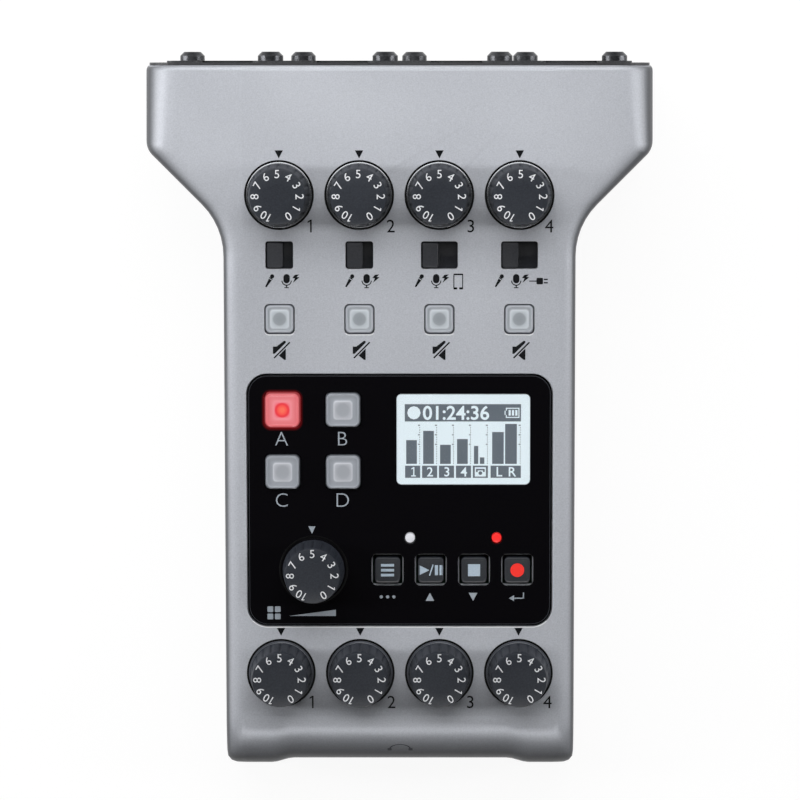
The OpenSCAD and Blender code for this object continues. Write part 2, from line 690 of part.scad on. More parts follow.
// Battery door that slides out at the left side, with a tongue along each edge
module battery_door() {
    color(dark) difference() {
        union() {
            translate([-hb + 0.9, door_y + run, base_z]) cube([hb - 0.9 + door_x - run, door_l - 2 * run, floor_t - 0.5]);
            translate([-hb + 0.9, door_y - groove + run, base_z + 0.7 + run])
                cube([hb - 0.9 + door_x - run, door_l + 2 * groove - 2 * run, 0.5]);
        }
        for (i = [0:4]) translate([-hb + 5 + i * 1.6, door_y + door_l / 2 - 6, base_z - 1]) cube([0.8, 12, 1.4]);
    }
}

upper_case();
lower_case();
rear_panel();
control_panel();
display_window();
display_module();
indicator_lights();
main_board();
jack_board();
io_board();
pot_bodies();
switch_bodies();
tact_switches();
input_sockets();
socket_contacts();
socket_screws();
audio_jacks();
usb_sockets();
card_socket();
battery_cells();
battery_contacts();
case_screws();
board_screws();
rubber_feet();
knob(knobs[0]);  // gain_knob_1
knob(knobs[1]);  // gain_knob_2
knob(knobs[2]);  // gain_knob_3
knob(knobs[3]);  // gain_knob_4
knob(knobs[4]);  // phones_knob_1
knob(knobs[5]);  // phones_knob_2
knob(knobs[6]);  // phones_knob_3
knob(knobs[7]);  // phones_knob_4
knob(knobs[8]);  // pad_knob_1
shaft(knobs[0]);  // gain_shaft_1
shaft(knobs[1]);  // gain_shaft_2
shaft(knobs[2]);  // gain_shaft_3
shaft(knobs[3]);  // gain_shaft_4
shaft(knobs[4]);  // phones_shaft_1
shaft(knobs[5]);  // phones_shaft_2
shaft(knobs[6]);  // phones_shaft_3
shaft(knobs[7]);  // phones_shaft_4
shaft(knobs[8]);  // pad_shaft_1
lever(0);  // input_switch_1
lever(1);  // input_switch_2
lever(2);  // input_switch_3
lever(3);  // input_switch_4
mute(0);  // mute_button_1
mute(1);  // mute_button_2
mute(2);  // mute_button_3
mute(3);  // mute_button_4
sound_pad(0);  // sound_pad_a
sound_pad(1);  // sound_pad_b
sound_pad(2);  // sound_pad_c
sound_pad(3);  // sound_pad_d
transport(0);  // menu_button
transport(1);  // play_button
transport(2);  // stop_button
transport(3);  // record_button
power_slider();
battery_door();
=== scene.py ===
import json
import math

import bmesh
import bpy
from mathutils import Matrix, Vector
from mathutils.bvhtree import BVHTree


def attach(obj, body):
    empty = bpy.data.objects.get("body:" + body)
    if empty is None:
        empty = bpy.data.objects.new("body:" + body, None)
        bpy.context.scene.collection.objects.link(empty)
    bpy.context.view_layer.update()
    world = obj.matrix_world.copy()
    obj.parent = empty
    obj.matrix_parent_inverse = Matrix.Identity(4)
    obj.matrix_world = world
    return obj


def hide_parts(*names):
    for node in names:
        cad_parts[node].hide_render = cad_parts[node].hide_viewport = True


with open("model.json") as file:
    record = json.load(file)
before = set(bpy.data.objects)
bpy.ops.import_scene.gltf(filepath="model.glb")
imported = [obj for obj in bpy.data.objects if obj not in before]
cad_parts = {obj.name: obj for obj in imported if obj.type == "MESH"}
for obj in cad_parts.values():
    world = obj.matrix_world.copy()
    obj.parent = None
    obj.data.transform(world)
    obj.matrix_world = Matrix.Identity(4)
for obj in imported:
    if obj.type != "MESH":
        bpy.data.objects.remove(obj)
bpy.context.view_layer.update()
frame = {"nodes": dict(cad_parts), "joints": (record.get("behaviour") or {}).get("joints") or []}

# Studio
# A white table seen from straight above, as for a catalogue picture. Soft boxes stand behind and
# beside the table, and the ceiling over the camera stays dim so that the gloss panel looks black.
mm = 0.001
camera_height = 0.750
camera_x = 7.9 * mm
camera_y = 1.09 * mm
picture_width = 184.7 * mm
deck_level = 33.0 * mm
middle_x = 0.11 * mm
camera_data = bpy.data.cameras.new("camera")
camera_data.sensor_width = 36
camera_data.lens = camera_data.sensor_width * camera_height / picture_width
deck_width = picture_width * (camera_height - deck_level) / camera_height
camera_data.shift_x = (middle_x - camera_x) / deck_width
camera = bpy.data.objects.new("camera", camera_data)
camera.location = (camera_x, camera_y, camera_height)
bpy.context.scene.collection.objects.link(camera)
bpy.context.scene.camera = camera
bpy.context.scene.view_settings.view_transform = "Standard"


def soft_box(name, place, width, length, power):
    lamp = bpy.data.lights.new(name, "AREA")
    lamp.shape = "RECTANGLE"
    lamp.size = width
    lamp.size_y = length
    lamp.energy = power
    holder = bpy.data.objects.new(name, lamp)
    holder.location = place
    holder.rotation_euler = (-Vector(place)).to_track_quat("-Z", "Y").to_euler()
    bpy.context.scene.collection.objects.link(holder)
    return holder


soft_box("rear_box", (-0.05, 0.36, 0.36), 0.70, 0.28, 1.85)
soft_box("over_box", (-0.02, 0.16, 0.36), 0.50, 0.20, 0.34)
soft_box("left_box", (-0.70, 0.05, 0.25), 0.15, 0.60, 3.2)
soft_box("right_box", (0.70, 0.05, 0.25), 0.15, 0.60, 2.5)
front_strip = soft_box("front_strip", (0.0, -0.70, 0.60), 0.70, 0.14, 4.8)
front_strip.visible_diffuse = False

sky = bpy.data.worlds.new("sky")
bpy.context.scene.world = sky
sky.use_nodes = True
nodes, links = sky.node_tree.nodes, sky.node_tree.links
nodes.clear()
place = nodes.new("ShaderNodeTexCoord")
split = nodes.new("ShaderNodeSeparateXYZ")
links.new(place.outputs["Generated"], split.inputs[0])
height = nodes.new("ShaderNodeMapRange")
height.inputs["From Min"].default_value = 0.15
height.inputs["From Max"].default_value = 0.85
height.inputs["To Min"].default_value = 0.05
height.inputs["To Max"].default_value = 0.02
links.new(split.outputs["Z"], height.inputs["Value"])
dome = nodes.new("ShaderNodeBackground")
links.new(height.outputs["Result"], dome.inputs["Strength"])
out = nodes.new("ShaderNodeOutputWorld")
links.new(dome.outputs[0], out.inputs["Surface"])

bm = bmesh.new()
bmesh.ops.create_grid(bm, x_segments=1, y_segments=1, size=2.0)
mesh = bpy.data.meshes.new("table")
bm.to_mesh(mesh)
bm.free()
table = bpy.data.objects.new("table", mesh)
bpy.context.scene.collection.objects.link(table)
table_white = bpy.data.materials.new("table_white")
table_white.use_nodes = True
mesh.materials.append(table_white)
nodes, links = table_white.node_tree.nodes, table_white.node_tree.links
nodes.clear()
paper = nodes.new("ShaderNodeBsdfDiffuse")
paper.inputs["Color"].default_value = (0.10, 0.10, 0.10, 1)
glow = nodes.new("ShaderNodeEmission")
glow.inputs["Strength"].default_value = 0.93
lit_paper = nodes.new("ShaderNodeAddShader")
links.new(paper.outputs[0], lit_paper.inputs[0])
links.new(glow.outputs[0], lit_paper.inputs[1])
dull_paper = nodes.new("ShaderNodeBsdfDiffuse")
dull_paper.inputs["Color"].default_value = (0.10, 0.10, 0.10, 1)
seen = nodes.new("ShaderNodeLightPath")
mirrored = nodes.new("ShaderNodeMath")
mirrored.operation = "MAXIMUM"
links.new(seen.outputs["Is Glossy Ray"], mirrored.inputs[0])
links.new(seen.outputs["Is Transmission Ray"], mirrored.inputs[1])
clear_view = nodes.new("ShaderNodeMath")
clear_view.operation = "MAXIMUM"
links.new(seen.outputs["Is Camera Ray"], clear_view.inputs[0])
links.new(mirrored.outputs[0], clear_view.inputs[1])
choice = nodes.new("ShaderNodeMixShader")
links.new(clear_view.outputs[0], choice.inputs["Fac"])
links.new(dull_paper.outputs[0], choice.inputs[1])
links.new(lit_paper.outputs[0], choice.inputs[2])
under = nodes.new("ShaderNodeNewGeometry")
clear = nodes.new("ShaderNodeBsdfTransparent")
one_sided = nodes.new("ShaderNodeMixShader")
links.new(under.outputs["Backfacing"], one_sided.inputs["Fac"])
links.new(choice.outputs[0], one_sided.inputs[1])
links.new(clear.outputs[0], one_sided.inputs[2])
out = nodes.new("ShaderNodeOutputMaterial")
links.new(one_sided.outputs[0], out.inputs["Surface"])

# Lower case
# The black bottom tray, moulded in ABS with a fine spark texture, and screwed to the upper half
# from below. Rubber feet are glued into its four seats and the battery door slides into it.
grain = bpy.data.node_groups.new("moulded_grain", "ShaderNodeTree")
for name, kind in (("Fine", "Float"), ("Slow", "Float"), ("Dark", "Color"), ("Light", "Color"),
                   ("Smooth", "Float"), ("Rough", "Float")):
    grain.interface.new_socket(name, in_out="INPUT", socket_type="NodeSocket" + kind)
for name, kind in (("Color", "Color"), ("Roughness", "Float"), ("Height", "Float")):
    grain.interface.new_socket(name, in_out="OUTPUT", socket_type="NodeSocket" + kind)
inner = grain.nodes
given = inner.new("NodeGroupInput")
result = inner.new("NodeGroupOutput")
where = inner.new("ShaderNodeTexCoord")
fine = inner.new("ShaderNodeTexNoise")
fine.inputs["Detail"].default_value = 3.0
slow = inner.new("ShaderNodeTexNoise")
slow.inputs["Detail"].default_value = 2.0
for noise, scale in ((fine, "Fine"), (slow, "Slow")):
    grain.links.new(where.outputs["Object"], noise.inputs["Vector"])
    grain.links.new(given.outputs[scale], noise.inputs["Scale"])
blend = inner.new("ShaderNodeMath")
blend.operation = "MULTIPLY_ADD"
blend.inputs[1].default_value = 0.6
grain.links.new(fine.outputs["Fac"], blend.inputs[0])
share = inner.new("ShaderNodeMath")
share.operation = "MULTIPLY"
share.inputs[1].default_value = 0.4
grain.links.new(slow.outputs["Fac"], share.inputs[0])
grain.links.new(share.outputs[0], blend.inputs[2])
spread = inner.new("ShaderNodeMapRange")
spread.inputs["From Min"].default_value = 0.32
spread.inputs["From Max"].default_value = 0.68
grain.links.new(blend.outputs[0], spread.inputs["Value"])
tint = inner.new("ShaderNodeMix")
tint.data_type = "RGBA"
grain.links.new(spread.outputs["Result"], tint.inputs["Factor"])
grain.links.new(given.outputs["Dark"], tint.inputs["A"])
grain.links.new(given.outputs["Light"], tint.inputs["B"])
grain.links.new(tint.outputs["Result"], result.inputs["Color"])
sheen = inner.new("ShaderNodeMapRange")
grain.links.new(slow.outputs["Fac"], sheen.inputs["Value"])
grain.links.new(given.outputs["Smooth"], sheen.inputs["To Min"])
grain.links.new(given.outputs["Rough"], sheen.inputs["To Max"])
grain.links.new(sheen.outputs["Result"], result.inputs["Roughness"])
grain.links.new(fine.outputs["Fac"], result.inputs["Height"])


def srgb(red, green, blue):
    def linear(value):
        value /= 255
        return value / 12.92 if value <= 0.04045 else ((value + 0.055) / 1.055) ** 2.4
    return (linear(red), linear(green), linear(blue), 1.0)


def moulded(name, dark, light, smooth, rough, fine=2500, slow=60, depth=0.02, **sockets):
    material = bpy.data.materials.new(name)
    material.use_nodes = True
    tree = material.node_tree
    shader = tree.nodes["Principled BSDF"]
    surface = tree.nodes.new("ShaderNodeGroup")
    surface.node_tree = grain
    surface.inputs["Fine"].default_value = fine
    surface.inputs["Slow"].default_value = slow
    surface.inputs["Dark"].default_value = srgb(*dark)
    surface.inputs["Light"].default_value = srgb(*light)
    surface.inputs["Smooth"].default_value = smooth
    surface.inputs["Rough"].default_value = rough
    tree.links.new(surface.outputs["Color"], shader.inputs["Base Color"])
    tree.links.new(surface.outputs["Roughness"], shader.inputs["Roughness"])
    relief = tree.nodes.new("ShaderNodeBump")
    relief.inputs["Distance"].default_value = depth * mm
    tree.links.new(surface.outputs["Height"], relief.inputs["Height"])
    tree.links.new(relief.outputs["Normal"], shader.inputs["Normal"])
    for socket, value in sockets.items():
        shader.inputs[socket.replace("_", " ")].default_value = value
    return material


def plain(name, colour, roughness, **sockets):
    material = bpy.data.materials.new(name)
    material.use_nodes = True
    shader = material.node_tree.nodes["Principled BSDF"]
    shader.inputs["Base Color"].default_value = srgb(*colour)
    shader.inputs["Roughness"].default_value = roughness
    for socket, value in sockets.items():
        shader.inputs[socket.replace("_", " ")].default_value = value
    return material


def dress(node, material):
    for slot in frame["nodes"][node].material_slots:
        slot.material = material


tray_black = moulded("tray_black", (24, 25, 28), (36, 37, 40), 0.45, 0.62, fine=1800, depth=0.05)
foot_rubber = moulded("foot_rubber", (18, 18, 19), (30, 30, 31), 0.70, 0.90, fine=900, depth=0.05)
screw_steel = moulded("screw_steel", (120, 122, 126), (165, 167, 170), 0.25, 0.45, Metallic=1.0)
dress("lower_case", tray_black)
dress("battery_door", tray_black)
dress("rubber_feet", foot_rubber)
dress("case_screws", screw_steel)
dress("board_screws", screw_steel)

# Boards and parts inside
# Green glass fibre boards with their controls, the display frame, and two cells in the bay. They
# show only through the openings, and carry the finish that such parts have.
board_green = moulded("board_green", (18, 66, 40), (32, 92, 58), 0.30, 0.45, fine=700, slow=300)
control_black = moulded("control_black", (30, 31, 33), (46, 47, 50), 0.40, 0.55)
bright_brass = moulded("bright_brass", (168, 132, 62), (205, 170, 96), 0.20, 0.35, Metallic=1.0)
cell_wrap = moulded("cell_wrap", (62, 72, 84), (92, 102, 114), 0.25, 0.40)
display_frame = moulded("display_frame", (176, 182, 190), (204, 209, 214), 0.40, 0.55)
for node in ("main_board", "jack_board", "io_board"):
    dress(node, board_green)
for node in ("pot_bodies", "tact_switches"):
    dress(node, control_black)
for node in ("switch_bodies", "battery_contacts", "usb_sockets", "card_socket"):
    dress(node, screw_steel)
dress("socket_contacts", bright_brass)
dress("battery_cells", cell_wrap)
dress("display_module", display_frame)
for node in [n for n in frame["nodes"] if "_shaft_" in n]:
    dress(node, screw_steel)

# Side and front ports
# Black jack bodies seen in their openings, steel shells for data and the memory card, and the
# ridged power slider in the left wall.
port_black = moulded("port_black", (16, 16, 18), (26, 26, 28), 0.35, 0.50)
dress("audio_jacks", port_black)
dress("power_slider", port_black)

# Upper case
# The silver half, moulded in one piece: a sloping deck that rolls into the front edge, a crease and a
# chamfer down each side, and shoulders at the rear. Its satin metallic paint carries painted shade: the
# colour is darkened towards black on the steep walls, which face neither up nor to the rear.


def softened(node, width, crisp, segments=2, steep=180):
    bm = bmesh.new()
    bm.from_mesh(frame["nodes"][node].data)
    bmesh.ops.remove_doubles(bm, verts=bm.verts, dist=0.002 * mm)
    bmesh.ops.dissolve_limit(bm, angle_limit=math.radians(0.5), verts=bm.verts, edges=bm.edges)
    sharp = [e for e in bm.edges if e.is_manifold and crisp < math.degrees(e.calc_face_angle()) < steep]
    bmesh.ops.bevel(bm, geom=sharp, offset=width * mm, affect="EDGES", segments=segments, profile=0.5,
                    material=-1, clamp_overlap=True)
    return bm


def piece(name, bm, body, material, replaced=(), place=None, crisp=32, even=False):
    if place:
        bm.transform(place)
    mesh = bpy.data.meshes.new(name)
    bm.to_mesh(mesh)
    bm.free()
    mesh.shade_smooth()
    mesh.set_sharp_from_angle(angle=math.radians(crisp))
    mesh.materials.append(material)
    made = bpy.data.objects.new(name, mesh)
    bpy.context.scene.collection.objects.link(made)
    if even:
        shading = made.modifiers.new("even_shading", "WEIGHTED_NORMAL")
        shading.keep_sharp = True
    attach(made, body)
    if replaced:
        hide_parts(*replaced)
    return made


silver_paint = moulded("silver_paint", (182, 185, 192), (204, 207, 214), 0.36, 0.42, fine=3200, slow=25,
                       depth=0.012, Metallic=0.08, Specular_IOR_Level=0.15)
# Painted shade: the silver's colour is mixed towards black where the surface faces neither up nor to the
# rear, so the steep walls read dark.
wall_shade_factor = 0.22
shade_full_below = 0.46
shade_none_above = 0.92
tree = silver_paint.node_tree
facing = tree.nodes.new("ShaderNodeAttribute")
facing.attribute_name = "facing"
outward = tree.nodes.new("ShaderNodeVectorMath")
outward.operation = "NORMALIZE"
tree.links.new(facing.outputs["Vector"], outward.inputs[0])
split = tree.nodes.new("ShaderNodeSeparateXYZ")
tree.links.new(outward.outputs["Vector"], split.inputs[0])
up_or_rear_facing = tree.nodes.new("ShaderNodeMath")
up_or_rear_facing.operation = "MAXIMUM"
tree.links.new(split.outputs["Y"], up_or_rear_facing.inputs[0])
tree.links.new(split.outputs["Z"], up_or_rear_facing.inputs[1])
painted_shade_ramp = tree.nodes.new("ShaderNodeMapRange")
painted_shade_ramp.interpolation_type = "SMOOTHSTEP"
painted_shade_ramp.inputs["From Min"].default_value = shade_full_below
painted_shade_ramp.inputs["From Max"].default_value = shade_none_above
painted_shade_ramp.inputs["To Min"].default_value = wall_shade_factor
tree.links.new(up_or_rear_facing.outputs[0], painted_shade_ramp.inputs["Value"])
paint = tree.nodes.new("ShaderNodeMix")
paint.data_type = "RGBA"
paint.inputs["A"].default_value = srgb(0, 0, 0)
tree.links.new(painted_shade_ramp.outputs["Result"], paint.inputs["Factor"])
base = tree.nodes["Principled BSDF"].inputs["Base Color"]
tree.links.new(base.links[0].from_socket, paint.inputs["B"])
tree.links.new(paint.outputs["Result"], base)

# The deck's own frame is in millimetres, with x to the right, y up the slope and z off the deck.
joints = {joint["name"]: joint for joint in frame["joints"]}
gain_u = 45.2
gain_left = Vector(joints["gain_knob_1_turn"]["pos_m"])
phones_left = Vector(joints["phones_knob_1_turn"]["pos_m"])
deck_normal = Vector(joints["gain_knob_1_turn"]["axis"]).normalized()
deck_up = (gain_left - phones_left).normalized()
deck_right = deck_up.cross(deck_normal)
deck_middle = gain_left - deck_right * gain_left.x - deck_up * gain_u * mm
on_deck = Matrix((deck_right, deck_up, deck_normal)).transposed().to_4x4()
on_deck.translation = deck_middle
on_deck = on_deck @ Matrix.Scale(mm, 4)
phones_u = gain_u - (gain_left - phones_left).length / mm
columns = [joints["gain_knob_%d_turn" % i]["pos_m"][0] / mm for i in (1, 2, 3, 4)]
pad_knob_x = joints["pad_knob_1_turn"]["pos_m"][0] / mm
pad_knob_u = (on_deck.inverted() @ Vector(joints["pad_knob_1_turn"]["pos_m"])).y
case_soft = 0.20
sharp_turn = 40
crease_x = 35.3
shoulder_crease_x = 34.4
crease_slack = 0.03
chamfer_angle = 24
chamfer_end = 14.0
chamfer_fade = 16.0
bm = softened("upper_case", case_soft, sharp_turn)
bm.transform(on_deck.inverted())
fall = math.tan(math.radians(chamfer_angle))
for v in bm.verts:
    share = min(1, max(0, 1 - (v.co.y - chamfer_end) / chamfer_fade))
    v.co.z = min(v.co.z, max(0, abs(v.co.x) - crease_x) * -fall * share)
shell = piece("silver_shell", bm, "case", silver_paint, ["upper_case"], on_deck, even=True)
for edge in shell.data.edges:
    ends = [abs(shell.data.vertices[v].co.x) / mm for v in edge.vertices]
    for crease in (crease_x, shoulder_crease_x):
        if all(abs(end - crease) < crease_slack for end in ends):
            edge.use_edge_sharp = True
shell.data.update()
# The shell's shading directions are stored here for the painted shade on its steep walls.
shell_facing = shell.data.attributes.new("facing", "FLOAT_VECTOR", "CORNER")
even_shell = shell.evaluated_get(bpy.context.evaluated_depsgraph_get()).data
for corner, normal in zip(shell_facing.data, even_shell.corner_normals):
    corner.vector = normal.vector

# Rear panel and microphone sockets
# A dark moulded plate closes the rear, with raised strips under the socket screws. Each socket has
# a black body with brass sleeves, held by two blackened pan head screws on a diagonal.
panel_dark = moulded("panel_dark", (44, 45, 48), (60, 61, 64), 0.40, 0.55, fine=1800, depth=0.04)
socket_black = moulded("socket_black", (20, 20, 22), (32, 32, 34), 0.30, 0.45)
screw_black = moulded("screw_black", (52, 53, 56), (84, 85, 88), 0.22, 0.38, Metallic=0.9)
head_round = 0.42
head_least_turn = 25
head_most_turn = 70
dress("rear_panel", panel_dark)
dress("input_sockets", socket_black)
heads = softened("socket_screws", head_round, head_least_turn, 3, head_most_turn)
piece("socket_screw_heads", heads, "case", screw_black, ["socket_screws"])

# Control panel
# A gloss black acrylic plate set into the deck, with polished bevels round its edge and round each
# opening. A faint red glow from the lit pad is painted into the plate beside it as emission.


def deck_box(node, crown=math.inf):
    spots = [on_deck.inverted() @ v.co for v in frame["nodes"][node].data.vertices]
    top = max(spot.z for spot in spots)
    spots = [spot for spot in spots if spot.z > top - crown]
    return (Vector([min(spot[k] for spot in spots) for k in range(3)]),
            Vector([max(spot[k] for spot in spots) for k in range(3)]))


panel_gloss = plain("panel_gloss", (12, 11, 14), 0.08, Specular_IOR_Level=0.35)
panel_soft = 0.18
panel_low, panel_high = deck_box("control_panel")
cap_crown = 0.5
pad_low, pad_high = deck_box("sound_pad_a", cap_crown)
pad_half = (pad_high.x - pad_low.x) / 2
pad_corner = 1.2
# Painted light: the plate itself emits a red glow that fades out round the first pad.
glow_reach = 0.95
tree = panel_gloss.node_tree
nodes, links = tree.nodes, tree.links
where = nodes.new("ShaderNodeTexCoord")
pad_spot = on_deck @ ((pad_low + pad_high) / 2)
pad_core = [(pad_half - pad_corner) * mm] * 3
reached = where.outputs["Object"]
for operation, value in (("SUBTRACT", pad_spot), ("ABSOLUTE", None), ("SUBTRACT", pad_core),
                         ("MULTIPLY", (1, 1, 0)), ("MAXIMUM", (0, 0, 0)), ("LENGTH", None)):
    step = nodes.new("ShaderNodeVectorMath")
    step.operation = operation
    if value:
        step.inputs[1].default_value = value
    links.new(reached, step.inputs[0])
    reached = step.outputs["Value" if operation == "LENGTH" else "Vector"]
fade = nodes.new("ShaderNodeMapRange")
fade.inputs["From Min"].default_value = pad_corner * mm
fade.inputs["From Max"].default_value = (pad_corner + glow_reach) * mm
links.new(reached, fade.inputs["Value"])
glow = nodes.new("ShaderNodeValToRGB")
glow.color_ramp.interpolation = "EASE"
glow.color_ramp.elements[0].color = srgb(104, 8, 12)
glow.color_ramp.elements[1].color = srgb(0, 0, 0)
links.new(fade.outputs["Result"], glow.inputs["Fac"])
links.new(glow.outputs["Color"], nodes["Principled BSDF"].inputs["Emission Color"])
nodes["Principled BSDF"].inputs["Emission Strength"].default_value = 1.0
plate = softened("control_panel", panel_soft, sharp_turn)
piece("gloss_panel", plate, "case", panel_gloss, ["control_panel"], even=True)

# Knobs
# Dark grey moulded caps on splined shafts: a tapered side with narrow grip grooves, a flat top with
# the scale printed in white. A black ring in the deck round each one is painted shade for the dark gap
# round the knob, and a turned collar lies inside it round those on the silver deck: bright metal for
# the gain knobs, and for the phone knobs a dull grey that is painted shade.
knob_foot_r = 6.85
knob_top_r = 6.15
knob_foot = 0.5
knob_h = 8.6
knob_middle_r = 2.5
knob_foot_round = 0.15
rim_drop = 0.45
rim_width = 0.4
rim_round = 0.12
grip_low = 0.5
grip_high = 0.25
grip_rows = 8
flutes = 20
flute_depth = 0.32
flute_steps = 12
flute_power = 5
ring_r = 7.66
ring_w = 0.46
ring_rise = 0.06
ring_edge = 0.03
ring_round = 0.04
ring_depth = 0.3
collar_r = 6.88
collar_edge = 0.06
collar_side = 0.10
collar_rise = 0.11
collar_low = 0.04
round_steps = 96
digit_r = 4.9
digit_h = 1.8
digit_turn = 30
digit_at_rest = 5
ten_left = 0.8
ten_right = 0.55
knob_grey = moulded("knob_grey", (34, 38, 46), (48, 52, 60), 0.42, 0.56, fine=2600, depth=0.02,
                    Specular_IOR_Level=0.3)
collar_silver = plain("collar_silver", (206, 209, 214), 0.22, Metallic=1.0)
collar_shaded_grey = plain("collar_shaded_grey", (92, 95, 102), 0.4, Specular_IOR_Level=0.2)
scale_white = moulded("scale_white", (222, 224, 228), (240, 241, 244), 0.50, 0.60)
gap_shade_black = plain("gap_shade_black", (9, 9, 10), 0.5, Specular_IOR_Level=0.1)


def lathe(bm, profile, steps):
    verts = [bm.verts.new((r, 0, n)) for r, n in profile]
    edges = [bm.edges.new(pair) for pair in zip(verts, verts[1:])]
    bmesh.ops.spin(bm, geom=verts + edges, cent=(0, 0, 0), axis=(0, 0, 1), angle=math.tau, steps=steps,
                   use_merge=True)
    bmesh.ops.remove_doubles(bm, verts=bm.verts, dist=0.001)
    bmesh.ops.recalc_face_normals(bm, faces=bm.faces)


def knob_cap():
    def side(n):
        return knob_foot_r + (knob_top_r - knob_foot_r) * (n - knob_foot) / (knob_h - knob_foot)
    rim = knob_h - rim_drop
    low = knob_foot + grip_low
    high = rim - grip_high
    profile = [(0, knob_h), (knob_middle_r, knob_h), (knob_top_r - rim_width, knob_h),
               (knob_top_r - rim_round, knob_h - rim_round), (knob_top_r, rim)]
    profile += [(side(n), n) for n in [high + (low - high) * i / grip_rows for i in range(grip_rows + 1)]]
    profile += [(knob_foot_r, knob_foot + knob_foot_round), (knob_foot_r - knob_foot_round, knob_foot),
                (0, knob_foot)]
    bm = bmesh.new()
    lathe(bm, profile, flutes * flute_steps)
    for v in bm.verts:
        r = math.hypot(v.co.x, v.co.y)
        if r > knob_top_r - 0.05 and low - 0.1 < v.co.z < rim - 0.1:
            groove = (0.5 + 0.5 * math.cos(flutes * math.atan2(v.co.y, v.co.x))) ** flute_power
            fade = min(1, (v.co.z - low + 0.3) / 0.9, (rim - v.co.z) / 0.7)
            shrink = 1 - flute_depth * groove * fade / r
            v.co.x *= shrink
            v.co.y *= shrink
    return bm


def lettering(bm, text, height, at, turn=0.0, bold=0.0):
    curve = bpy.data.curves.new("lettering", "FONT")
    curve.body = text
    curve.resolution_u = 5
    curve.offset = bold
    holder = bpy.data.objects.new("lettering", curve)
    mesh = bpy.data.meshes.new_from_object(holder)
    bpy.data.objects.remove(holder)
    bpy.data.curves.remove(curve)
    low = Vector([min(v.co[k] for v in mesh.vertices) for k in range(2)])
    high = Vector([max(v.co[k] for v in mesh.vertices) for k in range(2)])
    middle = (low + high) / 2
    size = Matrix.Scale(height / (high.y - low.y), 4) @ Matrix.Translation((-middle.x, -middle.y, 0))
    mesh.transform(Matrix.Translation((at[0], at[1], 0)) @ Matrix.Rotation(turn, 4, "Z") @ size)
    bm.from_mesh(mesh)
    bpy.data.meshes.remove(mesh)


def figure_one(bm, height, at, turn=0.0):
    outline = [(0.02, -0.5), (0.15, -0.5), (0.15, 0.5), (0.05, 0.5), (-0.17, 0.37), (-0.17, 0.24),
               (0.02, 0.35)]
    spin = Matrix.Rotation(turn, 2)
    bm.faces.new([bm.verts.new((*(Vector(at) + spin @ (Vector(point) * height)), 0)) for point in outline])


def ink(bm, level, thickness=0.03):
    bmesh.ops.remove_doubles(bm, verts=bm.verts, dist=0.001)
    for face in bm.faces:
        if face.normal.z < 0:
            face.normal_flip()
    raised = bmesh.ops.extrude_face_region(bm, geom=bm.faces[:], use_keep_orig=True)
    bmesh.ops.translate(bm, verts=[g for g in raised["geom"] if isinstance(g, bmesh.types.BMVert)],
                        vec=(0, 0, thickness))
    bmesh.ops.recalc_face_normals(bm, faces=bm.faces)
    bmesh.ops.translate(bm, verts=bm.verts, vec=(0, 0, level))
    return bm


knob_spots = {"gain_knob_%d" % (i + 1): (columns[i], gain_u, 0.0) for i in range(4)}
knob_spots.update({"phones_knob_%d" % (i + 1): (columns[i], phones_u, 0.0) for i in range(4)})
knob_spots["pad_knob_1"] = (pad_knob_x, pad_knob_u, panel_high.z)
for name, (x, u, seat) in knob_spots.items():
    spot = on_deck @ Matrix.Translation((x, u, 0))
    piece(name + "_cap", knob_cap(), name, knob_grey, [name], spot)
    bm = bmesh.new()
    for number in range(11):
        turn = math.radians(digit_turn * (number - digit_at_rest))
        along = Vector((math.cos(turn), math.sin(turn)))
        at = Vector((-math.sin(turn), math.cos(turn))) * digit_r
        if number == 1:
            figure_one(bm, digit_h, at, turn)
        elif number == 10:
            figure_one(bm, digit_h, at - along * ten_left, turn)
            lettering(bm, "0", digit_h, at + along * ten_right, turn)
        else:
            lettering(bm, str(number), digit_h, at, turn)
    piece(name + "_scale", ink(bm, knob_h), name, scale_white, place=spot)
    # Painted shade: a black ring laid in the deck where the gap round the knob falls dark.
    bm = bmesh.new()
    bore = ring_r - ring_w
    foot = seat - ring_depth
    edge = seat + ring_edge
    top = seat + ring_rise
    lathe(bm, [(bore, foot), (bore, edge), (bore + ring_round, top), (ring_r - ring_round, top),
               (ring_r, edge), (ring_r, foot), (bore, foot)], round_steps)
    piece(name + "_gap_shade_ring", bm, "case", gap_shade_black, place=spot)
    if name == "pad_knob_1":
        continue
    bm = bmesh.new()
    lathe(bm, [(collar_r, foot), (collar_r, collar_side), (collar_r + collar_edge, collar_rise),
               (bore, collar_low), (bore, foot), (collar_r, foot)], round_steps)
    # Painted shade: the phone knobs get a darker, dull copy of the collar in place of the bright metal one.
    collar = collar_silver if name.startswith("gain") else collar_shaded_grey
    piece(name + "_collar", bm, "case", collar, place=spot)

# Input switches
# Black slide levers in square slots, standing just under the deck, with a dust plate behind. They are
# moulded in hard plastic, and each is carried by the slide of its switch on the main board.
lever_soft = 0.22
lever_black = moulded("lever_black", (34, 36, 42), (48, 50, 56), 0.40, 0.52, fine=2600, depth=0.03)
for i in range(4):
    name = "input_switch_%d" % (i + 1)
    lever = softened(name, lever_soft, sharp_turn, 3)
    piece(name + "_lever", lever, name, lever_black, [name])

# Mute buttons and sound pads
# Milky silicone caps that a light shines through from below. Each has a raised rim, a shallow step,
# and a clearer square over its light, with a round lens in the middle. The first pad is lit red. Their
# tones, set ring by ring, carry painted highlights: a lighter rim and a bright ring round the square.


def square_reach(turn, half, corner):
    a, b = abs(math.cos(turn)), abs(math.sin(turn))
    core = half - corner
    if min(a, b) * half <= max(a, b) * core:
        return half / max(a, b)
    along = core * (a + b)
    return along + math.sqrt(along * along - 2 * core * core + corner * corner)


